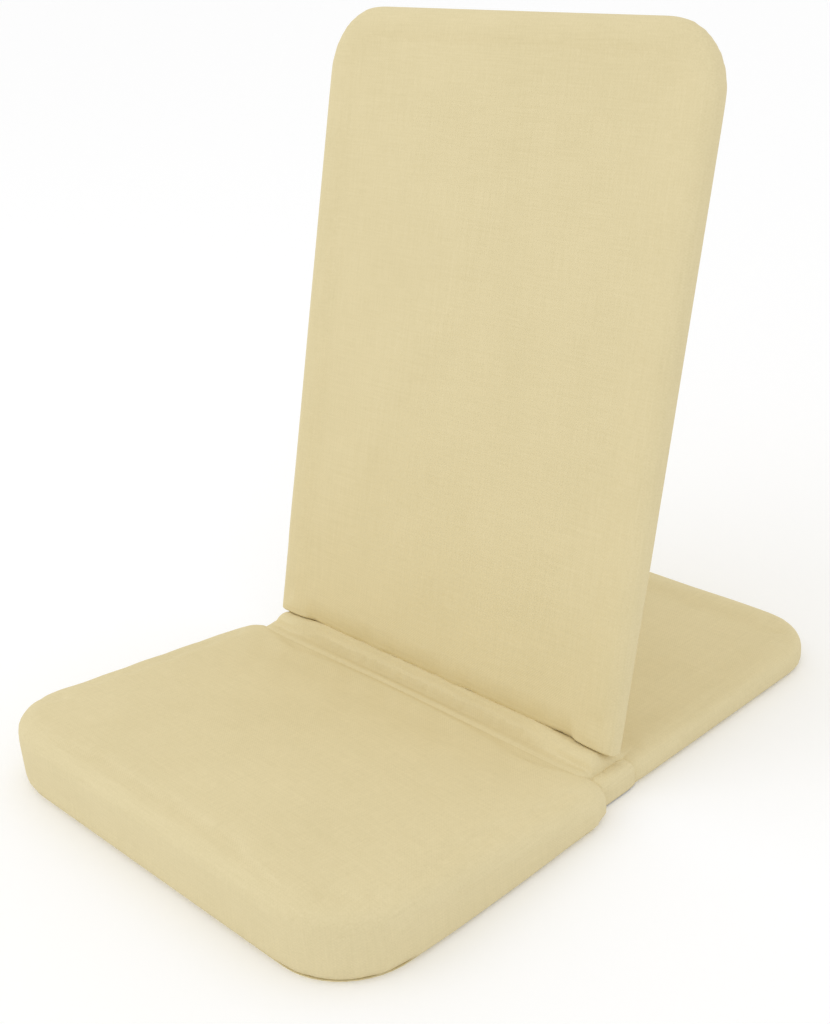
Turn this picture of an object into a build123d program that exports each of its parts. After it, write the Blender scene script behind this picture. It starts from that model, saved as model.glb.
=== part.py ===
from build123d import *
import os
from math import cos, radians, sin

os.makedirs("parts", exist_ok=True)

# Folding floor chair. X runs across the chair, Y from the front of the seat to the rear of the
# floor panel, Z up. The origin is at the centre of the footprint, on the floor.
# All sizes are in millimetres.

# Canvas, foam and clearances
cloth = 1.2
soft_gap = 0.3
fit_gap = 0.1

# Seat cushion, a wedge in front of the hinge line, wider than the frame by its overhangs
seat_overhang = 17.5
seat_reach = 368.0
seat_front_height = 73.0
seat_rear_height = 31.0
seat_end_crown = 2.5
seat_middle_crown = 10.0
seat_corner = 84.0
seat_rear_corner = 18.0
seat_top_roll = 14.0
seat_bottom_roll = 6.0
seat_rear_gap = 12.0
seat_pull_in = 48.0
seat_side_bend = 90.0
seam_drop = 18.0

# Thin floor panel behind the hinge line
tail_width = 518.0
tail_reach = 375.0
tail_height = 28.0
tail_corner = 75.0
tail_front_corner = 14.0
tail_top_roll = 10.0
tail_bottom_roll = 6.0
tail_front_gap = 26.0

# Backrest panel
back_length = 685.0
back_thickness = 26.0
back_corner = 68.0
back_roll = 12.4
back_gap = 10.0
recline = 15.0

# Shallow hollows between the tubes of the thin panels
dish_margin = 24.0
dish_slope = 30.0
dish_depth = 3.0
least_corner = 4.0

# Steel tubes
tube_radius = 11.0
tube_wall = 1.2
floor_tube_side_room = 5.8
seat_tube_cover = 14.0
tail_tube_cover = 3.0
floor_bend = 52.0
back_bend = 52.0
back_tube_cover = 4.9
back_tube_start = 14.0
crossbar_radius = 6.0
crossbar_wall = 1.2
crossbar_height = 84.0
plug_wall = 1.5
plug_depth = 8.0
splice_half_length = 45.0
splice_wall = 2.0

# Hinges: a fixed plate on each floor tube, a turning plate on each backrest leg
hinge_height = 34.0
plate_thickness = 2.5
tube_to_plate = 0.2
washer_thickness = 1.0
plate_to_washer = 0.05
eye_radius = 9.5
pin_radius = 4.0
bush_wall = 1.5
pin_play = 0.05
pin_head_radius = 6.5
pin_head_height = 2.0
floor_plate_half_length = 44.0
floor_plate_base = 4.0
floor_plate_top = 22.0
floor_plate_foot = 12.0
stop_radius = 2.5
stop_rim = 2.0
stop_play = 0.05
stop_reach = 18.0
toe_drop = 4.0
toe_reach = 21.0
strap_length = 56.0
strap_front = 5.0
rivet_radius = 2.4
rivet_head_radius = 4.5
rivet_head_height = 1.6
rivet_tail_radius = 3.2
rivet_tail_length = 2.5
floor_rivet_reach = 32.0
back_rivet_heights = (26.0, 44.0)
hardware_room = 2.0

# Flap, hems and hook and loop tapes
tape_thickness = 1.2
tape_width = 13.0
tape_end_gap = 22.5
tape_gap = 0.05
flap_sag = 3.4
hem_end_gap = 7.5
hem_rise = 18.0

seat_width = tail_width + 2 * seat_overhang
hinge_y = (seat_reach - tail_reach) / 2
floor_tube_half_span = tail_width / 2 - cloth - floor_tube_side_room - tube_radius
floor_tube_height = cloth + soft_gap + tube_radius
tube_bore = tube_radius - tube_wall

# The floor is seen from above, with its origin under the hinge line
floor = Plane((0, hinge_y, 0))

# The front face of the backrest, with its origin on the hinge line and its Y up the panel
up_the_back = (0, sin(radians(recline)), cos(radians(recline)))
out_of_the_back = (0, -cos(radians(recline)), sin(radians(recline)))
back = Plane((0, hinge_y, hinge_height), x_dir=(1, 0, 0), z_dir=out_of_the_back)

# Plates side by side at each hinge, from the floor tube inwards
floor_plate_outer = floor_tube_half_span - tube_radius - tube_to_plate
floor_plate_inner = floor_plate_outer - plate_thickness
back_plate_outer = floor_plate_inner - washer_thickness - 2 * plate_to_washer
back_plate_inner = back_plate_outer - plate_thickness
back_tube_half_span = back_plate_outer + tube_to_plate + tube_radius
hardware_side = back_plate_inner - pin_head_height - fit_gap - hardware_room

back_width = 2 * (back_tube_half_span + tube_radius + back_tube_cover + cloth)
tape_half_length = hardware_side - tape_end_gap
hem_half_length = hardware_side - hem_end_gap

back_tube_depth = back_thickness / 2
back_top = back_gap + back_length
back_tube_top = back_top - back_tube_cover - cloth - tube_radius


def side_view(x, turned=False):
    """Plane across the chair at x, on the hinge line; turned, its X runs up the backrest."""
    if turned:
        return Plane((x, hinge_y, hinge_height), x_dir=up_the_back, z_dir=(1, 0, 0))
    return Plane((x, hinge_y, 0), x_dir=(0, 1, 0), z_dir=(1, 0, 0))


def cross_section(y):
    """Upright plane that faces the front of the chair, at y from the hinge line."""
    return Plane((0, hinge_y + y, 0), x_dir=(1, 0, 0), z_dir=(0, -1, 0))


def round_bars(plane, spots, radius, length):
    """Equal round bars that stand on a plane at the given spots."""
    with BuildPart() as bars:
        with BuildSketch(plane):
            with Locations(*spots):
                Circle(radius)
        extrude(amount=length)
    return bars.part


def both_sides(part):
    """A part of the right side and its mirror image on the left."""
    with BuildPart() as pair:
        add(part)
        mirror(about=Plane.YZ)
    return pair.part


def seat_height(y):
    """Height of the seat's edge at y from the hinge line."""
    share = (-y - seat_rear_gap) / (seat_reach - seat_rear_gap)
    return seat_rear_height + share * (seat_front_height - seat_rear_height)


def seat_plan(inset, height):
    """Outline of the seat, drawn in by inset: rounded in front, pulled in at the rear."""
    side = seat_width / 2 - inset
    rear_side = tail_width / 2 - inset
    front = -seat_reach + inset
    rear = -seat_rear_gap - inset
    with BuildSketch(floor.offset(height)) as plan:
        with BuildLine():
            Polyline(
                (side, front),
                (side, rear - seat_pull_in),
                (rear_side, rear),
                (-rear_side, rear),
                (-side, rear - seat_pull_in),
                (-side, front),
                close=True,
            )
        make_face()
        fillet(plan.vertices().group_by(Axis.Y)[0], seat_corner - inset)
        fillet(plan.vertices().group_by(Axis.Y)[-1], seat_rear_corner - inset)
        fillet(plan.vertices().group_by(Axis.Y)[2], seat_side_bend)
    return plan.sketch


def seat_block(inset):
    """Wedge cushion drawn in by inset, with a crowned top and rolled edges."""
    side = seat_width / 2 + seat_corner
    stations = (
        (-seat_reach - seat_corner, seat_end_crown),
        (-(seat_reach + seat_rear_gap) / 2, seat_middle_crown),
        (seat_rear_gap, seat_end_crown),
    )
    with BuildPart() as block:
        add(seat_plan(inset, inset))
        extrude(amount=2 * seat_front_height)
        for y, crown in stations:
            edge = seat_height(y) - inset
            with BuildSketch(cross_section(y)):
                with BuildLine():
                    ThreePointArc((-side, edge), (0, edge + crown), (side, edge))
                    Polyline((side, edge), (side, 0), (-side, 0), (-side, edge))
                make_face()
        loft(mode=Mode.INTERSECT)
        fillet(block.faces().sort_by(Axis.Z)[-1].edges(), seat_top_roll - inset)
        fillet(block.faces().sort_by(Axis.Z)[0].edges(), seat_bottom_roll - inset)
    return block.part


def tail_plan(inset, height):
    """Outline of the floor panel, drawn in by inset, with large rear corners."""
    side = tail_width / 2 - inset
    front = tail_front_gap + inset
    rear = tail_reach - inset
    with BuildSketch(floor.offset(height)) as plan:
        with BuildLine():
            Polyline((side, front), (side, rear), (-side, rear), (-side, front), close=True)
        make_face()
        fillet(plan.vertices().group_by(Axis.Y)[0], max(tail_front_corner - inset, least_corner))
        fillet(plan.vertices().group_by(Axis.Y)[-1], tail_corner - inset)
    return plan.sketch


def tail_block(inset):
    """Thin floor panel drawn in by inset, hollowed a little between its tubes."""
    top = tail_height - inset
    with BuildPart() as block:
        add(tail_plan(inset, inset))
        extrude(amount=top - inset)
        fillet(block.faces().sort_by(Axis.Z)[-1].edges(), tail_top_roll - inset)
        fillet(block.faces().sort_by(Axis.Z)[0].edges(), tail_bottom_roll - inset)
        add(tail_plan(dish_margin, top))
        add(tail_plan(dish_margin + dish_slope, top - dish_depth))
        loft(ruled=True, mode=Mode.SUBTRACT)
    return block.part


def back_plan(inset, depth):
    """Outline of the backrest, drawn in by inset; it runs on below the hem, to be cut there."""
    height = back_length + 2 * back_corner
    with BuildSketch(back.offset(-depth)) as plan:
        with Locations((0, back_top - height / 2)):
            RectangleRounded(back_width - 2 * inset, height - 2 * inset, back_corner - inset)
    return plan.sketch


def back_block(inset, bottom):
    """Backrest panel from bottom up, drawn in by inset, hollowed a little in front."""
    with BuildPart() as block:
        add(back_plan(inset, inset))
        extrude(amount=back_thickness - 2 * inset, dir=-back.z_dir)
        panels = block.faces().sort_by(Axis(back.origin, out_of_the_back))
        fillet(panels[0].edges() + panels[-1].edges(), back_roll - inset)
        add(back_plan(dish_margin, inset))
        add(back_plan(dish_margin + dish_slope, dish_depth + inset))
        loft(ruled=True, mode=Mode.SUBTRACT)
        split(bisect_by=hem_plane(bottom), keep=Keep.TOP)
    return block.part


def hem_plane(height):
    """Plane across the backrest at a height above the hinge line, facing up the panel."""
    return Plane(back.from_local_coords((0, height, 0)), x_dir=(1, 0, 0), z_dir=up_the_back)


# ---- Floor frame: two bent tubes, joined end to end under the hinge line ----

tube_level = floor.offset(floor_tube_height)
seat_bar = -seat_reach + seat_tube_cover + tube_radius
tail_bar = tail_reach - cloth - tail_tube_cover - tube_radius


def half_frame(level, half_span, start, bar, bend, radius, wall):
    """Round tube bent to a U in a plane: two legs from start, and a bar across."""
    with BuildPart() as tube:
        with BuildLine(level) as run:
            FilletPolyline(
                (half_span, start),
                (half_span, bar),
                (-half_span, bar),
                (-half_span, start),
                radius=bend,
            )
        with BuildSketch(Plane(run.line @ 0, z_dir=run.line % 0)):
            Circle(radius)
            if wall:
                Circle(radius - wall, mode=Mode.SUBTRACT)
        sweep()
    return tube.part


floor_rivet_spots = [(-floor_rivet_reach, floor_tube_height), (floor_rivet_reach, floor_tube_height)]
rivet_holes = both_sides(
    round_bars(
        side_view(floor_plate_inner - rivet_head_height),
        floor_rivet_spots,
        rivet_radius + fit_gap,
        floor_tube_half_span - floor_plate_inner + rivet_head_height,
    )
)

with BuildPart() as seat_frame_tube:
    add(half_frame(tube_level, floor_tube_half_span, -fit_gap, seat_bar, floor_bend, tube_radius, tube_wall))
    add(rivet_holes, mode=Mode.SUBTRACT)
seat_frame_tube.part.label = "seat_frame_tube"
export_step(seat_frame_tube.part, "parts/seat_frame_tube.step")

with BuildPart() as tail_frame_tube:
    add(half_frame(tube_level, floor_tube_half_span, fit_gap, tail_bar, floor_bend, tube_radius, tube_wall))
    add(rivet_holes, mode=Mode.SUBTRACT)
tail_frame_tube.part.label = "tail_frame_tube"
export_step(tail_frame_tube.part, "parts/tail_frame_tube.step")

# Short sleeves inside the tubes hold the two halves in line
splice_radius = tube_bore - fit_gap
with BuildPart() as frame_splices:
    with BuildSketch(cross_section(splice_half_length)):
        with Locations((floor_tube_half_span, floor_tube_height), (-floor_tube_half_span, floor_tube_height)):
            Circle(splice_radius)
            Circle(splice_radius - splice_wall, mode=Mode.SUBTRACT)
    extrude(amount=2 * splice_half_length)
    add(rivet_holes, mode=Mode.SUBTRACT)
frame_splices.part.label = "frame_splices"
export_step(frame_splices.part, "parts/frame_splices.step")

# ---- Hinge plates on the floor tubes, with the pin and the stop pin ----

stop_below = -toe_drop - stop_radius - stop_play
stop_place = side_view(0, turned=True).from_local_coords((stop_below, -stop_reach, 0))
stop_spot = (stop_place.Y - hinge_y, stop_place.Z)
pin_spot = (0, hinge_height)

with BuildPart() as floor_plate_right:
    with BuildSketch(side_view(floor_plate_inner)):
        with Locations((0, (floor_plate_base + floor_plate_top) / 2)):
            Rectangle(2 * floor_plate_half_length, floor_plate_top - floor_plate_base)
        with BuildLine():
            Polyline(
                (-floor_plate_foot, floor_plate_top),
                (-eye_radius, hinge_height),
                (eye_radius, hinge_height),
                (floor_plate_foot, floor_plate_top),
                close=True,
            )
        make_face()
        with Locations(pin_spot):
            Circle(eye_radius)
        with Locations(stop_spot):
            Circle(stop_radius + stop_rim)
            Circle(stop_radius + pin_play, mode=Mode.SUBTRACT)
        with Locations(pin_spot):
            Circle(pin_radius + pin_play, mode=Mode.SUBTRACT)
        with Locations(*floor_rivet_spots):
            Circle(rivet_radius + fit_gap, mode=Mode.SUBTRACT)
    extrude(amount=plate_thickness)
floor_plate_right.part.label = "floor_plate_right"
export_step(floor_plate_right.part, "parts/floor_plate_right.step")

with BuildPart() as floor_plate_left:
    add(mirror(floor_plate_right.part, about=Plane.YZ))
floor_plate_left.part.label = "floor_plate_left"
export_step(floor_plate_left.part, "parts/floor_plate_left.step")


def stepped_pins(spots, steps, turned=False):
    """Equal pins across the chair on both sides; each step is (from x, to x, radius)."""
    with BuildPart() as pins:
        for x_from, x_to, radius in steps:
            add(round_bars(side_view(x_from, turned), spots, radius, x_to - x_from))
    return both_sides(pins.part)


def rivet_tail_x(tube_half_span, bore):
    """Where a blind rivet's tail can open inside a round bore."""
    return tube_half_span - (bore**2 - rivet_tail_radius**2) ** 0.5 + fit_gap


frame_rivet_tail = rivet_tail_x(floor_tube_half_span, splice_radius - splice_wall)
with BuildPart() as frame_rivets:
    add(
        stepped_pins(
            floor_rivet_spots,
            (
                (floor_plate_inner - rivet_head_height, floor_plate_inner, rivet_head_radius),
                (floor_plate_inner, frame_rivet_tail, rivet_radius),
                (frame_rivet_tail, frame_rivet_tail + rivet_tail_length, rivet_tail_radius),
            ),
        )
    )
frame_rivets.part.label = "frame_rivets"
export_step(frame_rivets.part, "parts/frame_rivets.step")

with BuildPart() as stop_pins:
    add(stepped_pins([stop_spot], ((back_plate_inner, floor_plate_outer, stop_radius),)))
stop_pins.part.label = "stop_pins"
export_step(stop_pins.part, "parts/stop_pins.step")

with BuildPart() as hinge_pins:
    inner_head = back_plate_inner - fit_gap
    outer_head = floor_plate_outer + fit_gap
    add(
        stepped_pins(
            [pin_spot],
            (
                (inner_head - pin_head_height, inner_head, pin_head_radius),
                (inner_head, outer_head, pin_radius),
                (outer_head, outer_head + pin_head_height, pin_head_radius),
            ),
        )
    )
hinge_pins.part.label = "hinge_pins"
export_step(hinge_pins.part, "parts/hinge_pins.step")

with BuildPart() as hinge_washers:
    washer_inner = back_plate_outer + plate_to_washer
    add(
        stepped_pins(
            [pin_spot], ((washer_inner, washer_inner + washer_thickness, eye_radius - fit_gap),)
        )
    )
    add(
        stepped_pins([pin_spot], ((washer_inner, floor_plate_inner, pin_radius + pin_play),)),
        mode=Mode.SUBTRACT,
    )
hinge_washers.part.label = "hinge_washers"
export_step(hinge_washers.part, "parts/hinge_washers.step")

# ---- Backrest frame, with its turning plates ----

back_rivet_spots = [(height, -back_tube_depth) for height in back_rivet_heights]
back_rivet_tail = rivet_tail_x(back_tube_half_span, tube_bore)
turned_rivet_holes = stepped_pins(
    back_rivet_spots, ((back_plate_inner, back_tube_half_span, rivet_radius + fit_gap),), turned=True
)

with BuildPart() as back_frame_tube:
    add(
        half_frame(
            back.offset(-back_tube_depth),
            back_tube_half_span,
            back_tube_start,
            back_tube_top,
            back_bend,
            tube_radius,
            tube_wall,
        )
    )
    add(turned_rivet_holes, mode=Mode.SUBTRACT)
back_frame_tube.part.label = "back_frame_tube"
export_step(back_frame_tube.part, "parts/back_frame_tube.step")

# A thin bar between the legs, close behind the padding, coped to the legs
crossbar_depth = back_thickness - cloth - soft_gap - crossbar_radius
with BuildPart() as back_crossbar:
    with BuildSketch(side_view(-back_tube_half_span, turned=True)):
        with Locations((crossbar_height, -crossbar_depth)):
            Circle(crossbar_radius)
            Circle(crossbar_radius - crossbar_wall, mode=Mode.SUBTRACT)
    extrude(amount=2 * back_tube_half_span)
    with BuildSketch(hem_plane(back_tube_start)):
        with Locations((back_tube_half_span, back_tube_depth), (-back_tube_half_span, back_tube_depth)):
            Circle(tube_radius + pin_play)
    extrude(amount=2 * crossbar_height, mode=Mode.SUBTRACT)
back_crossbar.part.label = "back_crossbar"
export_step(back_crossbar.part, "parts/back_crossbar.step")

# Moulded plugs close the lower ends of the legs
with BuildPart() as back_tube_plugs:
    with BuildSketch(hem_plane(back_tube_start - fit_gap)):
        with Locations((back_tube_half_span, back_tube_depth), (-back_tube_half_span, back_tube_depth)):
            Circle(tube_radius)
    extrude(amount=-plug_wall)
    with BuildSketch(hem_plane(back_tube_start - fit_gap)):
        with Locations((back_tube_half_span, back_tube_depth), (-back_tube_half_span, back_tube_depth)):
            Circle(tube_bore - fit_gap)
    extrude(amount=plug_depth)
back_tube_plugs.part.label = "back_tube_plugs"
export_step(back_tube_plugs.part, "parts/back_tube_plugs.step")

with BuildPart() as back_plate_right:
    with BuildSketch(side_view(back_plate_inner, turned=True)):
        Circle(eye_radius)
        with Locations(((strap_length - toe_drop) / 2, -(toe_reach + strap_front) / 2)):
            Rectangle(strap_length + toe_drop, toe_reach - strap_front)
        with Locations(((eye_radius - toe_drop) / 2, -strap_front / 2)):
            Rectangle(eye_radius + toe_drop, strap_front)
        Circle(pin_radius + pin_play + bush_wall, mode=Mode.SUBTRACT)
        with Locations(*back_rivet_spots):
            Circle(rivet_radius + fit_gap, mode=Mode.SUBTRACT)
    extrude(amount=plate_thickness)
back_plate_right.part.label = "back_plate_right"
export_step(back_plate_right.part, "parts/back_plate_right.step")

with BuildPart() as back_plate_left:
    add(mirror(back_plate_right.part, about=Plane.YZ))
back_plate_left.part.label = "back_plate_left"
export_step(back_plate_left.part, "parts/back_plate_left.step")

with BuildPart() as hinge_bushes:
    add(
        stepped_pins(
            [pin_spot], ((back_plate_inner, back_plate_outer, pin_radius + pin_play + bush_wall),)
        )
    )
    add(
        stepped_pins([pin_spot], ((back_plate_inner, back_plate_outer, pin_radius + pin_play),)),
        mode=Mode.SUBTRACT,
    )
hinge_bushes.part.label = "hinge_bushes"
export_step(hinge_bushes.part, "parts/hinge_bushes.step")

with BuildPart() as back_plate_rivets:
    add(
        stepped_pins(
            back_rivet_spots,
            (
                (back_plate_inner - rivet_head_height, back_plate_inner, rivet_head_radius),
                (back_plate_inner, back_rivet_tail, rivet_radius),
                (back_rivet_tail, back_rivet_tail + rivet_tail_length, rivet_tail_radius),
            ),
            turned=True,
        )
    )
back_plate_rivets.part.label = "back_plate_rivets"
export_step(back_plate_rivets.part, "parts/back_plate_rivets.step")

# ---- Padding and cover of the backrest ----

pad_side = back_tube_half_span - tube_radius - soft_gap
pad_top = back_tube_top - tube_radius - soft_gap
pad_foot = back_gap + cloth + soft_gap
pad_rear = crossbar_depth - crossbar_radius - soft_gap
with BuildPart() as back_pad:
    add(back_block(cloth + soft_gap, pad_foot))
    with BuildSketch(back):
        with Locations((0, (pad_top + pad_foot) / 2)):
            pad_outline = Rectangle(2 * pad_side, pad_top - pad_foot)
        fillet(pad_outline.vertices().group_by(Axis.Y)[-1], back_bend - tube_radius)
        for side in (-1, 1):
            with Locations((side * back_width / 2, pad_foot)):
                Rectangle(back_width - 2 * hardware_side, 2 * strap_length, mode=Mode.SUBTRACT)
    extrude(amount=-pad_rear, mode=Mode.INTERSECT)
back_pad.part.label = "back_pad"
export_step(back_pad.part, "parts/back_pad.step")

with BuildPart() as back_front_cover:
    add(back_block(0, back_gap))
    add(back_block(cloth, 0), mode=Mode.SUBTRACT)
    split(bisect_by=back.offset(-back_tube_depth), keep=Keep.TOP)
back_front_cover.part.label = "back_front_cover"
export_step(back_front_cover.part, "parts/back_front_cover.step")

with BuildPart() as back_rear_cover:
    add(back_block(0, back_gap))
    add(back_block(cloth, 0), mode=Mode.SUBTRACT)
    split(bisect_by=back.offset(-back_tube_depth), keep=Keep.BOTTOM)
back_rear_cover.part.label = "back_rear_cover"
export_step(back_rear_cover.part, "parts/back_rear_cover.step")

# The hem turns in under the panel and closes against the inside of the rear cover
loop_face = back_thickness - cloth - tape_gap
hook_face = loop_face - tape_thickness - tape_gap
hem_face = hook_face - tape_thickness - tape_gap
hem_front = dish_depth + cloth + soft_gap


def hem_strip(face, thickness, foot, rise, half_length):
    """Flat strip that stands up the panel from foot, in front of a face inside the cover."""
    with BuildPart() as strip:
        with BuildSketch(back.offset(-face)):
            with Locations((0, foot + rise / 2)):
                Rectangle(2 * half_length, rise)
        extrude(amount=thickness)
    return strip.part


with BuildPart() as back_loop_tape:
    add(hem_strip(loop_face, tape_thickness, pad_foot, tape_width, tape_half_length))
back_loop_tape.part.label = "back_loop_tape"
export_step(back_loop_tape.part, "parts/back_loop_tape.step")

with BuildPart() as back_hook_tape:
    add(hem_strip(hook_face, tape_thickness, pad_foot, tape_width, tape_half_length))
back_hook_tape.part.label = "back_hook_tape"
export_step(back_hook_tape.part, "parts/back_hook_tape.step")

with BuildPart() as back_hem_flap:
    add(hem_strip(hem_face, cloth, back_gap, hem_rise, hem_half_length))
    add(hem_strip(hem_face, hem_face - hem_front, back_gap, cloth, hem_half_length))
back_hem_flap.part.label = "back_hem_flap"
export_step(back_hem_flap.part, "parts/back_hem_flap.step")

# ---- Cover and padding of the floor part ----

# One flat panel closes the underside from the front of the seat to the rear
bridge_side = tail_width / 2 - tail_bottom_roll
with BuildPart() as base_bottom_cover:
    add(seat_plan(seat_bottom_roll, 0))
    add(tail_plan(tail_bottom_roll, 0))
    with BuildSketch(floor):
        with Locations((0, (tail_front_gap - seat_rear_gap) / 2)):
            Rectangle(
                2 * bridge_side,
                tail_front_gap + seat_rear_gap + 2 * (seat_bottom_roll + seat_rear_corner),
            )
    extrude(amount=cloth)
base_bottom_cover.part.label = "base_bottom_cover"
export_step(base_bottom_cover.part, "parts/base_bottom_cover.step")

# Room for the hinge plates and the ends of the tubes, open towards the hinge line
hardware_reach = floor_plate_half_length + hardware_room
pocket_outer = floor_tube_half_span + tube_radius + soft_gap
with BuildPart() as hinge_pockets:
    with BuildSketch(floor):
        for side in (-1, 1):
            with Locations((side * (hardware_side + pocket_outer) / 2, 0)):
                Rectangle(pocket_outer - hardware_side, 2 * hardware_reach)
    extrude(amount=floor_plate_top + hardware_room)

with BuildPart() as seat_foam:
    add(seat_block(cloth + soft_gap))
    add(
        half_frame(
            tube_level, floor_tube_half_span, 0, seat_bar, floor_bend, tube_radius + soft_gap, 0
        ),
        mode=Mode.SUBTRACT,
    )
    with BuildSketch(floor):
        with BuildLine():
            channel = FilletPolyline(
                (floor_tube_half_span, 0),
                (floor_tube_half_span, seat_bar),
                (-floor_tube_half_span, seat_bar),
                (-floor_tube_half_span, 0),
                radius=floor_bend,
            )
        trace(channel, line_width=2 * (tube_radius + soft_gap))
    extrude(amount=floor_tube_height, mode=Mode.SUBTRACT)
    add(hinge_pockets.part, mode=Mode.SUBTRACT)
seat_foam.part.label = "seat_foam"
export_step(seat_foam.part, "parts/seat_foam.step")

# The seam between the top panel and the side band runs level with the sloping top
seam_plane = Plane(
    (0, hinge_y - seat_rear_gap, seat_rear_height - seam_drop),
    x_dir=(1, 0, 0),
    z_dir=(0, seat_front_height - seat_rear_height, seat_reach - seat_rear_gap),
)
with BuildPart() as seat_top_panel:
    add(seat_block(0))
    add(seat_block(cloth), mode=Mode.SUBTRACT)
    split(bisect_by=seam_plane, keep=Keep.TOP)
    add(hinge_pockets.part, mode=Mode.SUBTRACT)
seat_top_panel.part.label = "seat_top_panel"
export_step(seat_top_panel.part, "parts/seat_top_panel.step")

with BuildPart() as seat_side_band:
    add(seat_block(0))
    add(seat_block(cloth), mode=Mode.SUBTRACT)
    split(bisect_by=seam_plane, keep=Keep.BOTTOM)
    add(base_bottom_cover.part, mode=Mode.SUBTRACT)
    add(hinge_pockets.part, mode=Mode.SUBTRACT)
seat_side_band.part.label = "seat_side_band"
export_step(seat_side_band.part, "parts/seat_side_band.step")

with BuildPart() as tail_pad:
    add(tail_block(cloth + soft_gap))
    with BuildSketch(floor):
        pad_half_width = floor_tube_half_span - tube_radius - soft_gap
        pad_rear_edge = tail_bar - tube_radius - soft_gap
        with Locations((0, pad_rear_edge / 2)):
            tail_pad_outline = Rectangle(2 * pad_half_width, pad_rear_edge)
        fillet(tail_pad_outline.vertices().group_by(Axis.Y)[-1], floor_bend - tube_radius)
    extrude(amount=tail_height, mode=Mode.INTERSECT)
    add(hinge_pockets.part, mode=Mode.SUBTRACT)
tail_pad.part.label = "tail_pad"
export_step(tail_pad.part, "parts/tail_pad.step")

with BuildPart() as tail_cover:
    add(tail_block(0))
    add(tail_block(cloth), mode=Mode.SUBTRACT)
    add(base_bottom_cover.part, mode=Mode.SUBTRACT)
    add(hinge_pockets.part, mode=Mode.SUBTRACT)
tail_cover.part.label = "tail_cover"
export_step(tail_cover.part, "parts/tail_cover.step")

# Sleeves carry the cover round the floor tubes beside the hinges
sleeve_inner = floor_plate_outer + fit_gap + pin_head_height + hardware_room
sleeve_front = -seat_rear_gap - seat_rear_corner
sleeve_rear = tail_front_gap + tail_front_corner
with BuildPart() as hinge_sleeve_right:
    with BuildSketch(cross_section(sleeve_rear)):
        with BuildLine():
            sleeve_line = FilletPolyline(
                (sleeve_inner, tail_height - cloth / 2),
                (tail_width / 2 - cloth / 2, tail_height - cloth / 2),
                (tail_width / 2 - cloth / 2, cloth / 2),
                (bridge_side - cloth, cloth / 2),
                radius=tail_bottom_roll - cloth,
            )
        trace(sleeve_line, line_width=cloth)
    extrude(amount=sleeve_rear - sleeve_front)
    add(seat_block(0), mode=Mode.SUBTRACT)
    add(tail_block(0), mode=Mode.SUBTRACT)
    add(base_bottom_cover.part, mode=Mode.SUBTRACT)
hinge_sleeve_right.part.label = "hinge_sleeve_right"
export_step(hinge_sleeve_right.part, "parts/hinge_sleeve_right.step")

with BuildPart() as hinge_sleeve_left:
    add(mirror(hinge_sleeve_right.part, about=Plane.YZ))
hinge_sleeve_left.part.label = "hinge_sleeve_left"
export_step(hinge_sleeve_left.part, "parts/hinge_sleeve_left.step")

# The flap bridges the gap under the backrest and closes on the floor panel
tape_front = tail_front_gap + tail_top_roll


def level_strip(bottom, y_from, width, half_length):
    """Flat strip across the chair, lying at a height behind the hinge line."""
    with BuildPart() as strip:
        with BuildSketch(floor.offset(bottom)):
            with Locations((0, y_from + width / 2)):
                Rectangle(2 * half_length, width)
        extrude(amount=tape_thickness)
    return strip.part


loop_bottom = tail_height + tape_gap
hook_bottom = loop_bottom + tape_thickness + tape_gap
flap_bottom = hook_bottom + tape_thickness + tape_gap
with BuildPart() as flap_loop_tape:
    add(level_strip(loop_bottom, tape_front, tape_width, tape_half_length))
flap_loop_tape.part.label = "flap_loop_tape"
export_step(flap_loop_tape.part, "parts/flap_loop_tape.step")

with BuildPart() as flap_hook_tape:
    add(level_strip(hook_bottom, tape_front, tape_width, tape_half_length))
flap_hook_tape.part.label = "flap_hook_tape"
export_step(flap_hook_tape.part, "parts/flap_hook_tape.step")

flap_front = -seat_rear_gap - seat_top_roll
flap_level = flap_bottom + cloth / 2
with BuildPart() as joint_flap:
    with BuildSketch(side_view(-hardware_side)):
        with BuildLine():
            valley = ThreePointArc(
                (flap_front, seat_rear_height),
                ((flap_front + tape_front) / 2, seat_rear_height - flap_sag),
                (tape_front, flap_level),
            )
            hem = Line((tape_front, flap_level), (tape_front + tape_width, flap_level))
        trace([valley, hem], line_width=cloth)
    extrude(amount=2 * hardware_side)
    add(seat_block(0), mode=Mode.SUBTRACT)
joint_flap.part.label = "joint_flap"
export_step(joint_flap.part, "parts/joint_flap.step")
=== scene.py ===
from math import cos, pi, radians, sin

import bpy
import numpy as np
from mathutils import Matrix, Vector


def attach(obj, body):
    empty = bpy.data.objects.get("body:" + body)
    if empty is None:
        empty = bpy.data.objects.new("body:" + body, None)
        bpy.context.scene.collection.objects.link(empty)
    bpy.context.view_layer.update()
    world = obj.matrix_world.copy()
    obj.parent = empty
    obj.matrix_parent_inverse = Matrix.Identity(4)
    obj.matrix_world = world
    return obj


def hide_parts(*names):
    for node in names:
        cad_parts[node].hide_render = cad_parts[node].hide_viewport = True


# Folding floor chair in natural cotton canvas. Metres; X across, Y from front to rear, Z up.
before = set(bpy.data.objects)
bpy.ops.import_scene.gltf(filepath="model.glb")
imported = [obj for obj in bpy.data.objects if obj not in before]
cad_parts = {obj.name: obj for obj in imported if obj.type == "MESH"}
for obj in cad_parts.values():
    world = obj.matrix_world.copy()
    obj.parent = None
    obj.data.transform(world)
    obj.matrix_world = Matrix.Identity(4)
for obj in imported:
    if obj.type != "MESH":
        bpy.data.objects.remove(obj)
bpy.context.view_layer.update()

X, Y, Z = range(3)

# Canvas and the hinge line
cloth = 0.0012
cut_clearance = 0.0006
hinge_y = -0.0035
hinge_z = 0.034
recline = radians(15)

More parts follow.
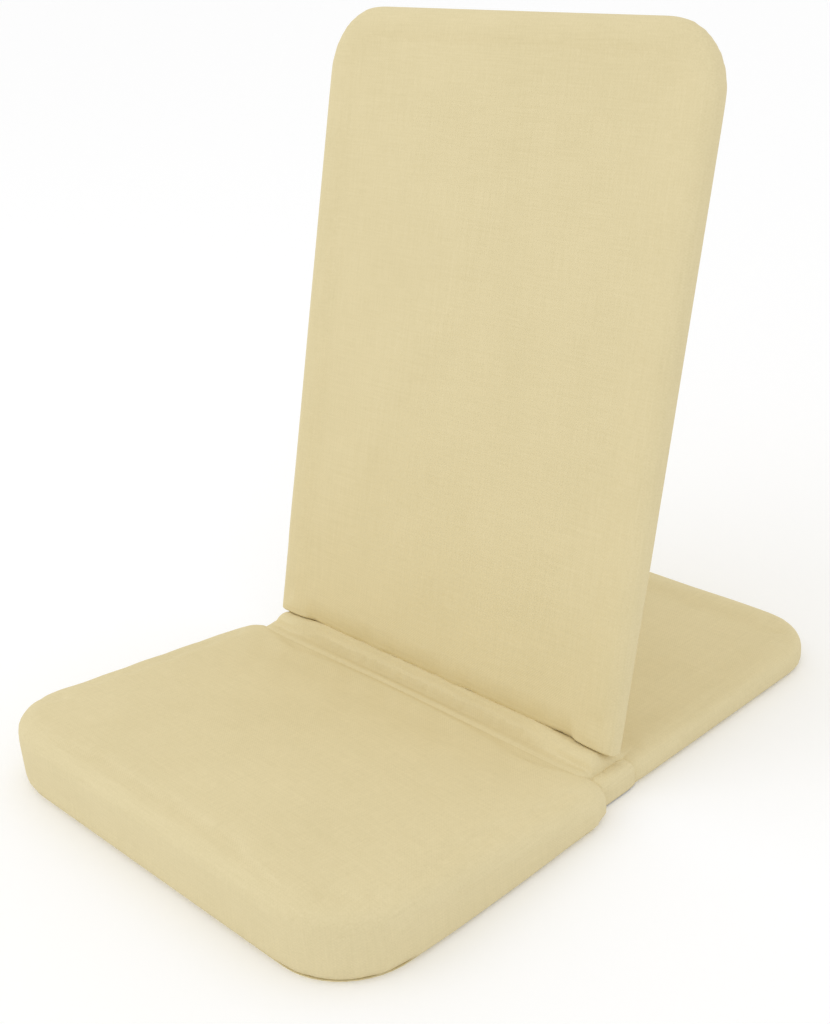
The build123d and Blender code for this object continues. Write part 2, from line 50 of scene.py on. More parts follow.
# Seat cushion
seat_half = 0.2765
seat_front = -0.3715
seat_rear = -0.0155
seat_front_height = 0.073
seat_rear_height = 0.031
seat_pull_in = 0.034
seat_rear_half = 0.267
seat_corner = 0.084
seat_rear_corner = 0.018
seat_roll = 0.014
seat_crown = 0.0060
seat_swell = 0.0028
seam_drop = 0.018
seam_width = 0.0016
seam_tuck = 0.0003
foam_gap = 0.0004

# Thin floor panel behind the hinge, and the pad inside it
tail_half = 0.259
tail_front = 0.0225
tail_rear = 0.3715
tail_height = 0.028
tail_corner = 0.075
tail_front_corner = 0.014
tail_roll = 0.010
tail_swell = 0.0015
tail_hollow = 0.003
floor_roll = 0.006
tail_pad_side = 0.0297
tail_pad_front = 0.0015
tail_pad_rear = 0.0265
tail_pad_floor = 0.0015
tail_pad_drop = 0.0045
tail_pad_corner = 0.04
tail_pad_roll = 0.006

# Backrest and its pad, in their own upright frame: depth from the front face, height from the
# hinge line
back_half = 0.2545
back_depth = 0.026
back_foot = 0.010
back_top = 0.695
back_corner = 0.068
back_roll = 0.0122
back_swell = 0.0015
back_hollow = 0.003
back_taper = 0.0175
taper_height = 0.60
hinge_clearance = 0.0006
foot_fold = 0.009
foot_middle = 0.196
foot_ends = 0.210
back_pad_half = 0.2258
back_pad_depths = (0.006, 0.0125)
back_pad_heights = (0.040, 0.6663)
back_pad_corner = 0.041

# Flap, sleeves, tapes and hem at the joint
flap_half = 0.2430
flap_turn = 0.2325
flap_end_height = 0.0262
flap_rear_drop = 0.0024
tape_half = 0.1971
tape_front = hinge_y + 0.036
tape_width = 0.013
tape_rear = tape_front + tape_width
tape_thickness = 0.0012
tape_gap = 0.00005
tape_foot = 0.0128
loop_depth = 0.02355
hook_depth = 0.0223
hem_half = 0.2121
hem_depths = (0.0110, 0.02105)
hem_foot = 0.0116
hem_turn_up = 0.0152

# Sizes of the even faces that the soft pieces are made of
seat_faces = 0.006
tail_faces = 0.005
back_faces = 0.006
tail_pad_faces = 0.007
back_pad_faces = 0.004


def only(piece):
    """Makes one piece the active one, alone in the selection, in object mode."""
    if bpy.context.object and bpy.context.object.mode != "OBJECT":
        bpy.ops.object.mode_set(mode="OBJECT")
    bpy.ops.object.select_all(action="DESELECT")
    piece.select_set(True)
    bpy.context.view_layer.objects.active = piece


def add_box(name, low, high):
    """Box between two corners."""
    bpy.ops.object.select_all(action="DESELECT")
    middle = [(a + b) / 2 for a, b in zip(low, high)]
    size = [b - a for a, b in zip(low, high)]
    bpy.ops.mesh.primitive_cube_add(size=1, location=middle, scale=size)
    piece = bpy.context.active_object
    piece.name = piece.data.name = name
    bpy.ops.object.transform_apply(location=True, rotation=True, scale=True)
    return piece


def add_grid(name, across, along):
    """Flat grid in the XY plane, 1 m square, centred on the origin."""
    bpy.ops.object.select_all(action="DESELECT")
    bpy.ops.mesh.primitive_grid_add(x_subdivisions=across, y_subdivisions=along, size=1)
    piece = bpy.context.active_object
    piece.name = piece.data.name = name
    return piece


def near(value, target):
    return abs(value - target) < 1e-4


def edges_along(axis, other, place):
    """Test for the edges that run along one axis, at a place on another."""
    return lambda a, b: near(a[other], place) and all(
        near(a[k], b[k]) for k in (X, Y, Z) if k != axis
    )


def faces_towards(axis, sign):
    """Test for the faces that look up or down an axis, or less than 45 degrees off it."""
    return lambda middle, facing: facing[axis] * sign > 0.7


def pick(piece, kind, test):
    """Edit mode, with only the vertices, edges or faces that pass a test selected."""
    only(piece)
    bpy.ops.object.mode_set(mode="EDIT")
    bpy.ops.mesh.select_mode(type=kind)
    bpy.ops.mesh.select_all(action="DESELECT")
    bpy.ops.object.mode_set(mode="OBJECT")
    mesh = piece.data
    if kind == "VERT":
        for vertex in mesh.vertices:
            vertex.select = test(vertex.co)
    elif kind == "EDGE":
        for edge in mesh.edges:
            edge.select = test(*(mesh.vertices[v].co for v in edge.vertices))
    else:
        for face in mesh.polygons:
            face.select = test(face.center, face.normal)
    bpy.ops.object.mode_set(mode="EDIT")


def cut(piece, place, normal, clear=False):
    """Cuts a piece along a plane, and clears the side that the normal points to if asked."""
    pick(piece, "FACE", lambda middle, facing: True)
    bpy.ops.mesh.bisect(plane_co=place, plane_no=normal, clear_outer=clear, threshold=1e-6)
    bpy.ops.object.mode_set(mode="OBJECT")


def round_edges(piece, test, radius, segments):
    """Bevels the edges that pass a test."""
    pick(piece, "EDGE", test)
    bpy.ops.mesh.bevel(offset=radius, segments=segments, affect="EDGES")
    bpy.ops.object.mode_set(mode="OBJECT")


def round_rim(piece, test, radius, segments):
    """Bevels the loop round the faces that pass a test."""
    pick(piece, "FACE", test)
    bpy.ops.mesh.region_to_loop()
    bpy.ops.mesh.bevel(offset=radius, segments=segments, affect="EDGES")
    bpy.ops.object.mode_set(mode="OBJECT")


def places(piece):
    co = np.empty(len(piece.data.vertices) * 3)
    piece.data.vertices.foreach_get("co", co)
    return co.reshape(-1, 3)


def facings(piece):
    out = np.empty(len(piece.data.vertices) * 3)
    piece.data.vertices.foreach_get("normal", out)
    return out.reshape(-1, 3)


def put(piece, co):
    piece.data.vertices.foreach_set("co", co.ravel())
    piece.data.update()


def apply_modifier(piece, kind, **settings):
    """Adds a modifier, sets it and applies it."""
    only(piece)
    made = piece.modifiers.new(kind.lower(), kind)
    for name, value in settings.items():
        setattr(made, name, value)
    bpy.ops.object.modifier_apply(modifier=made.name)


def even_faces(piece, size):
    apply_modifier(piece, "REMESH", mode="VOXEL", voxel_size=size)


def skin(piece):
    """Gives an open skin the canvas thickness, inwards."""
    apply_modifier(piece, "SOLIDIFY", thickness=cloth, offset=-1, use_even_offset=False)


def copy_of(piece, name):
    twin = piece.copy()
    twin.data = piece.data.copy()
    twin.name = twin.data.name = name
    bpy.context.scene.collection.objects.link(twin)
    return twin


def ramp(value, start, end):
    """Smooth step from 0 at start to 1 at end."""
    t = np.clip((value - start) / (end - start), 0, 1)
    return t * t * (3 - 2 * t)


def ripple(value, lengths):
    """Uneven waves between about -1 and 1, from a few wave lengths."""
    offset = 1.7
    waves = [np.sin(2 * pi * value / long + offset * k) for k, long in enumerate(lengths)]
    return sum(waves) / len(waves)


def bump_at(value, place, width):
    """Smooth rise to 1 at a place."""
    return np.exp(-(((value - place) / width) ** 2))


def swell(piece, faces, pressure, cap, held_below, free_axis):
    """Even faces, a cloth pass under inner pressure, and one subdivision.

    The foot is held. No point moves further than cap, or inwards, and only the free axis keeps
    the whole move.
    """
    even_faces(piece, faces)
    start = places(piece)
    outwards = facings(piece)
    group = piece.vertex_groups.new(name="held")
    foot = np.nonzero(start[:, Z] < held_below)[0]
    group.add([int(i) for i in foot], 1.0, "REPLACE")
    only(piece)
    cloth_pass = piece.modifiers.new("cloth_pass", "CLOTH")
    how = cloth_pass.settings
    how.quality = 6
    how.mass = 0.25
    how.tension_stiffness = 40
    how.compression_stiffness = 40
    how.shear_stiffness = 20
    how.bending_stiffness = 2
    how.use_pressure = True
    how.uniform_pressure_force = pressure
    how.effector_weights.gravity = 0
    how.vertex_group_mass = "held"
    cloth_pass.collision_settings.use_collision = False
    last_frame = 20
    cloth_pass.point_cache.frame_start = 1
    cloth_pass.point_cache.frame_end = last_frame
    for step in range(1, last_frame + 1):
        bpy.context.scene.frame_set(step)
    bpy.ops.object.modifier_apply(modifier=cloth_pass.name)
    bpy.context.scene.frame_set(1)
    piece.vertex_groups.clear()
    shares = np.full(3, 0.3)
    shares[free_axis] = 1
    move = (places(piece) - start) * shares
    inwards = np.minimum((move * outwards).sum(axis=1, keepdims=True), 0)
    move -= inwards * outwards
    far = np.linalg.norm(move, axis=1, keepdims=True)
    put(piece, start + move * np.minimum(1, cap / np.maximum(far, 1e-9)))
    apply_modifier(piece, "SUBSURF", levels=1, render_levels=1)


def set_reach(piece, axis, low, high):
    """Brings a piece that has swollen back between two limits along one axis."""
    co = places(piece)
    least, most = co[:, axis].min(), co[:, axis].max()
    co[:, axis] = low + (co[:, axis] - least) * (high - low) / (most - least)
    put(piece, co)


def edge_distance(across, along, half, low, high, corner):
    """Distance in from a rounded outline."""
    beside = np.abs(across) - (half - corner)
    beyond = np.maximum(along - (high - corner), (low + corner) - along)
    outside = np.hypot(np.maximum(beside, 0), np.maximum(beyond, 0))
    return corner - outside - np.minimum(np.maximum(beside, beyond), 0)


def lean_back(piece):
    """Takes a piece from the backrest's own upright frame to its place at rest."""
    piece.rotation_euler = (-recline, 0, 0)
    piece.location = (0, hinge_y, hinge_z)
    only(piece)
    bpy.ops.object.transform_apply(location=True, rotation=True, scale=True)


# ---- Materials ----


def linear(code):
    """Linear colour from an sRGB hex value."""
    parts = [int(code[k : k + 2], 16) / 255 for k in (1, 3, 5)]
    return (*[c / 12.92 if c <= 0.04045 else ((c + 0.055) / 1.055) ** 2.4 for c in parts], 1)


def add_node(tree, kind, inputs=None, **settings):
    """A shader node with its settings, and with its inputs set or linked."""
    made = tree.nodes.new(kind)
    for name, value in settings.items():
        setattr(made, name, value)
    for name, value in (inputs or {}).items():
        if isinstance(value, bpy.types.NodeSocket):
            tree.links.new(value, made.inputs[name])
        else:
            made.inputs[name].default_value = value
    return made


def new_material(name):
    made = bpy.data.materials.new(name)
    made.use_nodes = True
    return made, made.node_tree, made.node_tree.nodes["Principled BSDF"]


def woven_canvas(name, tilt):
    """Cotton duck: a tight plain weave of slubby yarn, matt, with a faint bloom at its edges."""
    made, tree, shader = new_material(name)
    coordinates = add_node(tree, "ShaderNodeTexCoord").outputs
    place, facing = coordinates["Object"], coordinates["Normal"]
    if tilt:
        place, facing = (
            add_node(
                tree, "ShaderNodeMapping", {"Vector": value, "Rotation": (tilt, 0, 0)}
            ).outputs["Vector"]
            for value in (place, facing)
        )
    # Threads are 0.7 mm apart, drawn 3 mm apart so that they show
    spacing = 0.0030
    turns = add_node(
        tree, "ShaderNodeVectorMath", {0: place, 1: (2 * pi / spacing,) * 3}, operation="MULTIPLY"
    )
    waves = add_node(tree, "ShaderNodeVectorMath", {0: turns.outputs[0]}, operation="SINE")
    x, y, z = add_node(tree, "ShaderNodeSeparateXYZ", {0: waves.outputs[0]}).outputs
    # Each face shows the pair of threads that lies in its own plane
    facing = add_node(tree, "ShaderNodeVectorMath", {0: facing}, operation="ABSOLUTE").outputs[0]
    face_x, face_y, face_z = add_node(tree, "ShaderNodeSeparateXYZ", {0: facing}).outputs
    weave = 0.0
    for first, second, share in ((x, y, face_z), (y, z, face_x), (z, x, face_y)):
        pair = add_node(tree, "ShaderNodeMath", {0: first, 1: second}, operation="MULTIPLY")
        weave = add_node(
            tree,
            "ShaderNodeMath",
            {0: pair.outputs[0], 1: share, 2: weave},
            operation="MULTIPLY_ADD",
        ).outputs[0]
    # Slubs: thick places in the yarn, about 40 mm long and 1.5 mm wide, along each axis
    slub_long, slub_wide = 0.040, 0.0015
    streaks = 0.0
    for axis in (X, Y, Z):
        scale = [1 / slub_wide] * 3
        scale[axis] = 1 / slub_long
        along = add_node(tree, "ShaderNodeMapping", {"Vector": place, "Scale": scale})
        slub = add_node(
            tree,
            "ShaderNodeTexNoise",
            {"Vector": along.outputs["Vector"], "Scale": 1.0, "Detail": 1.0, "Roughness": 0.4},
        ).outputs["Fac"]
        added = add_node(tree, "ShaderNodeMath", {0: slub, 1: streaks}, operation="ADD")
        streaks = added.outputs[0]
    # Uneven cloth: patches about 90 mm across, a little darker or lighter
    patches = add_node(
        tree, "ShaderNodeTexNoise", {"Vector": place, "Scale": 11.0, "Detail": 3.0}
    ).outputs["Fac"]
    # Slubs, patches and threads each darken or lighten the yarn by their share
    tone = -0.5
    for pattern, share in ((streaks, 0.5), (patches, 0.5), (weave, 0.08)):
        tone = add_node(
            tree,
            "ShaderNodeMath",
            {0: pattern, 1: share, 2: tone},
            operation="MULTIPLY_ADD",
            use_clamp=pattern == weave,
        ).outputs[0]
    colour = add_node(
        tree,
        "ShaderNodeMix",
        {"Factor": tone, 6: linear("#D9CB9F"), 7: linear("#E8DAB0")},
        data_type="RGBA",
    )
    tree.links.new(colour.outputs[2], shader.inputs["Base Color"])
    relief = add_node(
        tree, "ShaderNodeMath", {0: streaks, 1: 0.6, 2: weave}, operation="MULTIPLY_ADD"
    ).outputs[0]
    bump = add_node(
        tree, "ShaderNodeBump", {"Height": relief, "Strength": 0.25, "Distance": 0.0002}
    )
    tree.links.new(bump.outputs["Normal"], shader.inputs["Normal"])
    shader.inputs["Roughness"].default_value = 0.92
    shader.inputs["Specular IOR Level"].default_value = 0.12
    shader.inputs["Sheen Weight"].default_value = 0.05
    shader.inputs["Sheen Roughness"].default_value = 0.6
    return made


def foam_material():
    """Cut polyurethane foam: fine open cells, pale, quite matt."""
    made, tree, shader = new_material("cut_polyurethane_foam")
    place = add_node(tree, "ShaderNodeTexCoord").outputs["Object"]
    # Cells are about 1.2 mm across
    cell = 0.0012
    cells = add_node(
        tree, "ShaderNodeTexVoronoi", {"Vector": place, "Scale": 1 / cell}
    ).outputs["Distance"]
    colour = add_node(
        tree,
        "ShaderNodeMix",
        {"Factor": cells, 6: linear("#E3DCC6"), 7: linear("#F1ECDC")},
        data_type="RGBA",
    )
    tree.links.new(colour.outputs[2], shader.inputs["Base Color"])
    bump = add_node(
        tree, "ShaderNodeBump", {"Height": cells, "Strength": 0.5, "Distance": 0.0005}
    )
    tree.links.new(bump.outputs["Normal"], shader.inputs["Normal"])
    shader.inputs["Roughness"].default_value = 0.95
    return made


def grained_finish(name, dark, light, roughness, metallic, grain, bump_depth):
    """Metal or moulded finish with a fine grain in its colour, roughness and relief."""
    made, tree, shader = new_material(name)
    place = add_node(tree, "ShaderNodeTexCoord").outputs["Object"]
    noise = add_node(
        tree, "ShaderNodeTexNoise", {"Vector": place, "Scale": 1 / grain, "Detail": 4.0}
    ).outputs["Fac"]
    spread = 0.08
    rough = add_node(
        tree,
        "ShaderNodeMapRange",
        {"Value": noise, "To Min": roughness - spread, "To Max": roughness + spread},
    )
    tree.links.new(rough.outputs["Result"], shader.inputs["Roughness"])
    shade = add_node(
        tree,
        "ShaderNodeMix",
        {"Factor": noise, 6: linear(dark), 7: linear(light)},
        data_type="RGBA",
    )
    tree.links.new(shade.outputs[2], shader.inputs["Base Color"])
    bump = add_node(
        tree, "ShaderNodeBump", {"Height": noise, "Strength": 0.2, "Distance": bump_depth}
    )
    tree.links.new(bump.outputs["Normal"], shader.inputs["Normal"])
    shader.inputs["Metallic"].default_value = metallic
    return made


canvas = woven_canvas("woven_cotton_canvas", 0)
back_canvas = woven_canvas("woven_cotton_canvas_leaning", recline)
foam = foam_material()
# Grey powder coat on steel tube: an even satin with a faint orange peel, 1.5 mm across
coated_steel = grained_finish(
    "powder_coated_steel", "#8B8D8E", "#97999A", 0.42, 0.0, 0.0015, 0.0001
)
# Bright zinc on pressed and turned steel: slightly cloudy, half bright
zinc_steel = grained_finish("zinc_plated_steel", "#B4B6B6", "#C9CACA", 0.34, 1.0, 0.004, 0.00003)
# Natural nylon: milky white and smooth from the mould
nylon = grained_finish("moulded_natural_nylon", "#DEDACD", "#E8E5DA", 0.38, 0.0, 0.003, 0.00002)
# Black polyethylene plug: fine leather grain from the mould
black_plastic = grained_finish(
    "moulded_black_polyethylene", "#1B1B1C", "#232324", 0.5, 0.0, 0.0012, 0.00008
)
# Hook and loop tape in beige nylon: a dense short nap
tape_nylon = grained_finish("beige_nylon_tape", "#C9B98C", "#D6C79C", 0.85, 0.0, 0.0008, 0.0004)

node_finishes = {
    coated_steel: ("seat_frame_tube", "tail_frame_tube", "back_frame_tube", "back_crossbar"),
    zinc_steel: (
        "floor_plate_left",
        "floor_plate_right",
        "frame_rivets",
        "stop_pins",
        "hinge_pins",
        "back_plate_left",
        "back_plate_right",
        "back_plate_rivets",
        "frame_splices",
    ),
    nylon: ("hinge_washers", "hinge_bushes"),
    black_plastic: ("back_tube_plugs",),
}
for finish, nodes in node_finishes.items():
    for name in nodes:
        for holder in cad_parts[name].material_slots:
            holder.material = finish


def finish_piece(piece, material, body, node):
    """Material, smooth shading, body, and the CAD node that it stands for."""
    piece.data.materials.clear()
    piece.data.materials.append(material)
    only(piece)
    bpy.ops.object.shade_smooth_by_angle(angle=radians(50))
    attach(piece, body)
    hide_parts(node)


# ---- Seat cushion ----


def seat_edge(y):
    """Height of the seat's edge at y."""
    share = (seat_rear - y) / (seat_rear - seat_front)
    return seat_rear_height + share * (seat_front_height - seat_rear_height)


bend_y = seat_rear - seat_pull_in
seat = add_box(
    "seat_cushion", (-seat_half, seat_front, 0), (seat_half, seat_rear, seat_front_height)
)
cut(seat, (0, bend_y, 0), (0, 1, 0))
for y in (bend_y, seat_rear):
    pick(seat, "VERT", lambda co: near(co.y, y) and near(co.z, seat_front_height))
    bpy.ops.transform.translate(value=(0, 0, seat_edge(y) - seat_front_height))
pick(seat, "VERT", lambda co: near(co.y, seat_rear))
bpy.ops.transform.resize(value=(seat_rear_half / seat_half, 1, 1), center_override=(0, 0, 0))
round_edges(seat, edges_along(Z, Y, seat_front), seat_corner, 8)
round_edges(seat, edges_along(Z, Y, seat_rear), seat_rear_corner, 5)
round_rim(seat, faces_towards(Z, 1), seat_roll, 4)
round_rim(seat, faces_towards(Z, -1), floor_roll, 3)
even_faces(seat, seat_faces)

# A low dome, fullest in the middle
co = places(seat)
upper = ramp(co[:, Z] / seat_edge(co[:, Y]), 0.35, 1.0)
forward = np.clip((seat_rear - co[:, Y]) / (seat_rear - seat_front), 0, 1)
dome = (1 - (co[:, X] / seat_half) ** 2) * (0.25 + 3 * forward * (1 - forward))
co[:, Z] += upper * np.clip(dome, 0, 1) * seat_crown
put(seat, co)
swell(seat, seat_faces, 4.0, seat_swell, 0.004, Z)
set_reach(seat, X, -seat_half, seat_half)
set_reach(seat, Y, seat_front, seat_rear)

# The canvas is drawn tight over the rear edge: a low raised band, a shallow hollow before it,
# and faint slanting wrinkles that die out towards the front
co = places(seat)
upper = ramp(co[:, Z] / seat_edge(co[:, Y]), 0.6, 1.0)
behind = co[:, Y] - seat_rear
inner = 1 - ramp(np.abs(co[:, X]), 0.215, 0.25)
band = 0.0006 * bump_at(behind, -0.016, 0.010)
hollow = 0.0010 * bump_at(behind, -0.050, 0.020)
slant = ripple(co[:, X] + 0.8 * co[:, Y], (0.047, 0.071, 0.113))
wrinkles = 0.0006 * slant * ramp(behind, -0.14, -0.03) * (1 - ramp(behind, -0.03, -0.012))
calm = 0.0005 * ripple(0.6 * co[:, X] - co[:, Y], (0.13, 0.19, 0.31))
co[:, Z] += upper * (inner * (band - hollow) + wrinkles + calm)
put(seat, co)

# The seam between top and side, drawn in a little
seam_normal = Vector(
    (0, seat_front_height - seat_rear_height, seat_rear - seat_front)
).normalized()
seam_point = Vector((0, seat_rear, seat_rear_height - seam_drop))
co = places(seat)
off_seam = (co - np.array(seam_point)) @ np.array(seam_normal)
put(seat, co - facings(seat) * (seam_tuck * bump_at(off_seam, 0, seam_width))[:, None])

seat_foam = copy_of(seat, "seat_foam_block")
put(seat_foam, places(seat_foam) - facings(seat_foam) * (cloth + foam_gap))
seat_top = copy_of(seat, "seat_top_canvas")
cut(seat_top, seam_point, -seam_normal, clear=True)
seat_side = copy_of(seat, "seat_side_canvas")
cut(seat_side, seam_point, seam_normal, clear=True)
cut(seat_side, (0, 0, cut_clearance), (0, 0, -1), clear=True)
bpy.data.objects.remove(seat)
for piece in (seat_top, seat_side):
    skin(piece)
finish_piece(seat_foam, foam, "base", "seat_foam")
finish_piece(seat_top, canvas, "base", "seat_top_panel")
finish_piece(seat_side, canvas, "base", "seat_side_band")

# ---- Floor panel behind the hinge ----

tail = add_box("tail_canvas", (-tail_half, tail_front, 0), (tail_half, tail_rear, tail_height))
round_edges(tail, edges_along(Z, Y, tail_rear), tail_corner, 10)
round_edges(tail, edges_along(Z, Y, tail_front), tail_front_corner, 4)
round_rim(tail, faces_towards(Z, 1), tail_roll, 4)
round_rim(tail, faces_towards(Z, -1), floor_roll, 3)
swell(tail, tail_faces, 1.5, tail_swell, 0.004, Z)
set_reach(tail, X, -tail_half, tail_half)
set_reach(tail, Y, tail_front, tail_rear)

# Thinner inside its frame, and flat under the tapes of the flap
co = places(tail)
inside = edge_distance(co[:, X], co[:, Y], tail_half, tail_front, tail_rear, 0.04)
co[:, Z] -= tail_hollow * ramp(inside, 0.022, 0.052) * ramp(co[:, Z], 0.015, 0.025)
calm = 0.0005 * ripple(co[:, X] + co[:, Y], (0.12, 0.17, 0.29))
co[:, Z] += calm * ramp(co[:, Z], 0.015, 0.025)
under_tape = 1 - ramp(co[:, Y], tape_rear + 0.004, tape_rear + 0.020)
under_tape *= ramp(co[:, Z], 0.018, 0.024)
pressed = tail_height + (co[:, Z] - tail_height) * (1 - under_tape)
co[:, Z] = np.where(co[:, Z] > tail_height, pressed, co[:, Z])
put(tail, co)

tail_pad = add_box(
    "tail_pad_block",
    (-tail_half + tail_pad_side, tail_front + tail_pad_front, tail_pad_floor),
    (tail_half - tail_pad_side, tail_rear - tail_pad_rear, tail_height - tail_pad_drop),
)
round_edges(tail_pad, edges_along(Z, Y, tail_rear - tail_pad_rear), tail_pad_corner, 8)
round_rim(tail_pad, faces_towards(Z, 1), tail_pad_roll, 3)
even_faces(tail_pad, tail_pad_faces)

cut(tail, (0, 0, cut_clearance), (0, 0, -1), clear=True)
skin(tail)
finish_piece(tail, canvas, "base", "tail_cover")
finish_piece(tail_pad, foam, "base", "tail_pad")

# ---- Backrest ----

fold_low = back_foot - foot_fold
back = add_box("back", (-back_half, 0, fold_low), (back_half, back_depth, back_top))
round_edges(back, edges_along(Y, Z, back_top), back_corner, 12)
for sign in (-1, 1):
    round_rim(back, faces_towards(Y, sign), back_roll, 5)
swell(back, back_faces, 1.5, back_swell, 0.02, Y)
set_reach(back, X, -back_half, back_half)
set_reach(back, Z, fold_low, back_top)

# The foot is folded flat beside the hinges, and hangs fuller and a little uneven between them
co = places(back)
middle = 1 - ramp(np.abs(co[:, X]), foot_middle, foot_ends)
fold_top = back_foot + 0.004 + 0.007 * middle
front_foot = 0.0095 + 0.0012 * ripple(co[:, X], (0.043, 0.061, 0.127))
rear_foot = 0.0070
between = front_foot + (rear_foot - front_foot) * ramp(co[:, Y], 0.010, 0.020)
beside = back_foot + hinge_clearance
foot = beside + middle * (between - beside)
folded = foot + (co[:, Z] - fold_low) * (fold_top - foot) / (fold_top - fold_low)
co[:, Z] = np.where(co[:, Z] < fold_top, folded, co[:, Z])
# The front is hollow inside its frame. The canvas dips in just under the top tube, and lies in
# slow uneven waves lower down
inside = edge_distance(co[:, X], co[:, Z], back_half, back_foot - 0.05, back_top, back_corner)
front = 1 - ramp(co[:, Y], 0.002, 0.012)
co[:, Y] += back_hollow * ramp(inside, 0.022, 0.052) * front
top_dip = 0.0016 * bump_at(co[:, Z], 0.661, 0.008)
top_dip *= 1 - ramp(np.abs(co[:, X]), 0.17, 0.21)
waves = 0.0006 * ripple(co[:, X] - 0.5 * co[:, Z], (0.11, 0.17, 0.29))
co[:, Y] += front * (top_dip + waves * ramp(inside, 0.010, 0.05))
# The hem curves in between the hinges
low = 1 - ramp(co[:, Z], 0.012, 0.040)
curl = 0.0042 + 0.0010 * ripple(co[:, X], (0.037, 0.053, 0.089))
co[:, Y] += middle * low * curl * (1 - ramp(co[:, Y], 0.004, 0.020))
# The panel narrows towards the seat
co[:, X] *= 1 - back_taper * np.clip((taper_height - co[:, Z]) / taper_height, 0, 1)
put(back, co)

pad_front, pad_rear = back_pad_depths
pad_low, pad_high = back_pad_heights
back_pad = add_box(
    "back_pad_block", (-back_pad_half, pad_front, pad_low), (back_pad_half, pad_rear, pad_high)
)
round_edges(back_pad, edges_along(Y, Z, pad_high), back_pad_corner, 8)
even_faces(back_pad, back_pad_faces)

back_front = copy_of(back, "back_front_canvas")
cut(back_front, (0, back_depth / 2, 0), (0, 1, 0), clear=True)
back_rear = copy_of(back, "back_rear_canvas")
cut(back_rear, (0, back_depth / 2, 0), (0, -1, 0), clear=True)
bpy.data.objects.remove(back)
for piece in (back_front, back_rear):
    skin(piece)
for piece in (back_front, back_rear, back_pad):
    lean_back(piece)
finish_piece(back_front, back_canvas, "backrest", "back_front_cover")
finish_piece(back_rear, back_canvas, "backrest", "back_rear_cover")
finish_piece(back_pad, foam, "backrest", "back_pad")

# ---- Joint: flap, sleeves, tapes, hem and underside ----

# The flap runs from the seat's rear edge, level to the foot of the hem, up behind it and down to
# the floor panel. Each row is distance behind the hinge line and height, first in the middle and
# then near its ends, where it closes round the hinges that it covers
flap_lines = np.array(
    (
        (-0.0300, 0.0330, -0.0300, 0.0330),
        (-0.0230, 0.0330, -0.0240, 0.0330),
        (-0.0160, 0.0325, -0.0180, 0.0330),
        (-0.0085, 0.0312, -0.0130, 0.0332),
        (-0.0010, 0.0303, -0.0107, 0.0362),
        (0.0055, 0.0306, -0.0090, 0.0400),
        (0.0092, 0.0340, -0.0042, 0.0438),
        (0.0116, 0.0388, 0.0015, 0.0447),
        (0.0142, 0.0418, 0.0070, 0.0430),
        (0.0180, 0.0370, 0.0130, 0.0406),
        (0.0250, 0.0342, 0.0200, 0.0381),
        (0.0360, 0.0312, 0.0360, 0.0314),
        (0.0490, 0.0312, 0.0490, 0.0312),
    )
)
flap = add_grid("joint_flap_canvas", 300, 60)
co = places(flap)
x = 2 * flap_half * co[:, X]
share = co[:, Y] + 0.5
window = np.hanning(21)
steps = np.linspace(0, 1, 200)
smooth_lines = [
    np.convolve(
        np.pad(
            np.interp(steps, np.linspace(0, 1, len(flap_lines)), line),
            len(window) // 2,
            mode="edge",
        ),
        window / window.sum(),
        mode="valid",
    )
    for line in flap_lines.T
]
y_middle, z_middle, y_end, z_end = (np.interp(share, steps, line) for line in smooth_lines)
raised = ramp(np.abs(x), np.where(x > 0, 0.130, 0.170), 0.216)
# Small gathers where the flap is free, none where it is sewn down
free = ramp(share, 0.20, 0.35) * (1 - ramp(share, 0.55, 0.75))
gathers = ripple(x + 0.02 * share, (0.0139, 0.0197, 0.0311)) + 0.6 * ripple(x, (0.058, 0.091))
gathers *= free * (1 - 0.6 * raised)
co[:, X] = x
co[:, Y] = hinge_y + y_middle + raised * (y_end - y_middle) + 0.0006 * gathers
height = z_middle + raised * (z_end - z_middle) + 0.0007 * gathers
# Its front edge lies on the seat, and carries the line of the seat's top on
reach = seat_rear - seat_roll - 0.001
carried = np.empty(len(x))
for index, (across, back_to) in enumerate(zip(co[:, X], co[:, Y])):
    above_it = Vector((across, min(back_to, reach), 0.2))
    carried[index] = seat_top.ray_cast(above_it, Vector((0, 0, -1)))[1].z
fall = (seat_front_height - seat_rear_height) / (seat_rear - seat_front)
carried -= fall * np.maximum(co[:, Y] - reach, 0)
behind = co[:, Y] - hinge_y
carried += -0.0010 + 0.0013 * ramp(behind, -0.029, -0.019)
height = carried + (height - carried) * ramp(behind, -0.021, -0.011)
# Past the ends of the tapes its rear edge lies on the floor panel itself
height -= flap_rear_drop * ramp(np.abs(x), 0.1985, 0.2060) * ramp(behind, 0.028, 0.036)
# Both ends round down into the sleeves
end = np.clip((np.abs(x) - flap_turn) / (flap_half - flap_turn), 0, 1)
rounded = flap_end_height + (height - flap_end_height) * np.sqrt(1 - end**2)
co[:, Z] = np.where(height > flap_end_height, rounded, height)
put(flap, co)
apply_modifier(flap, "SOLIDIFY", thickness=cloth, offset=0)
finish_piece(flap, canvas, "base", "joint_flap")

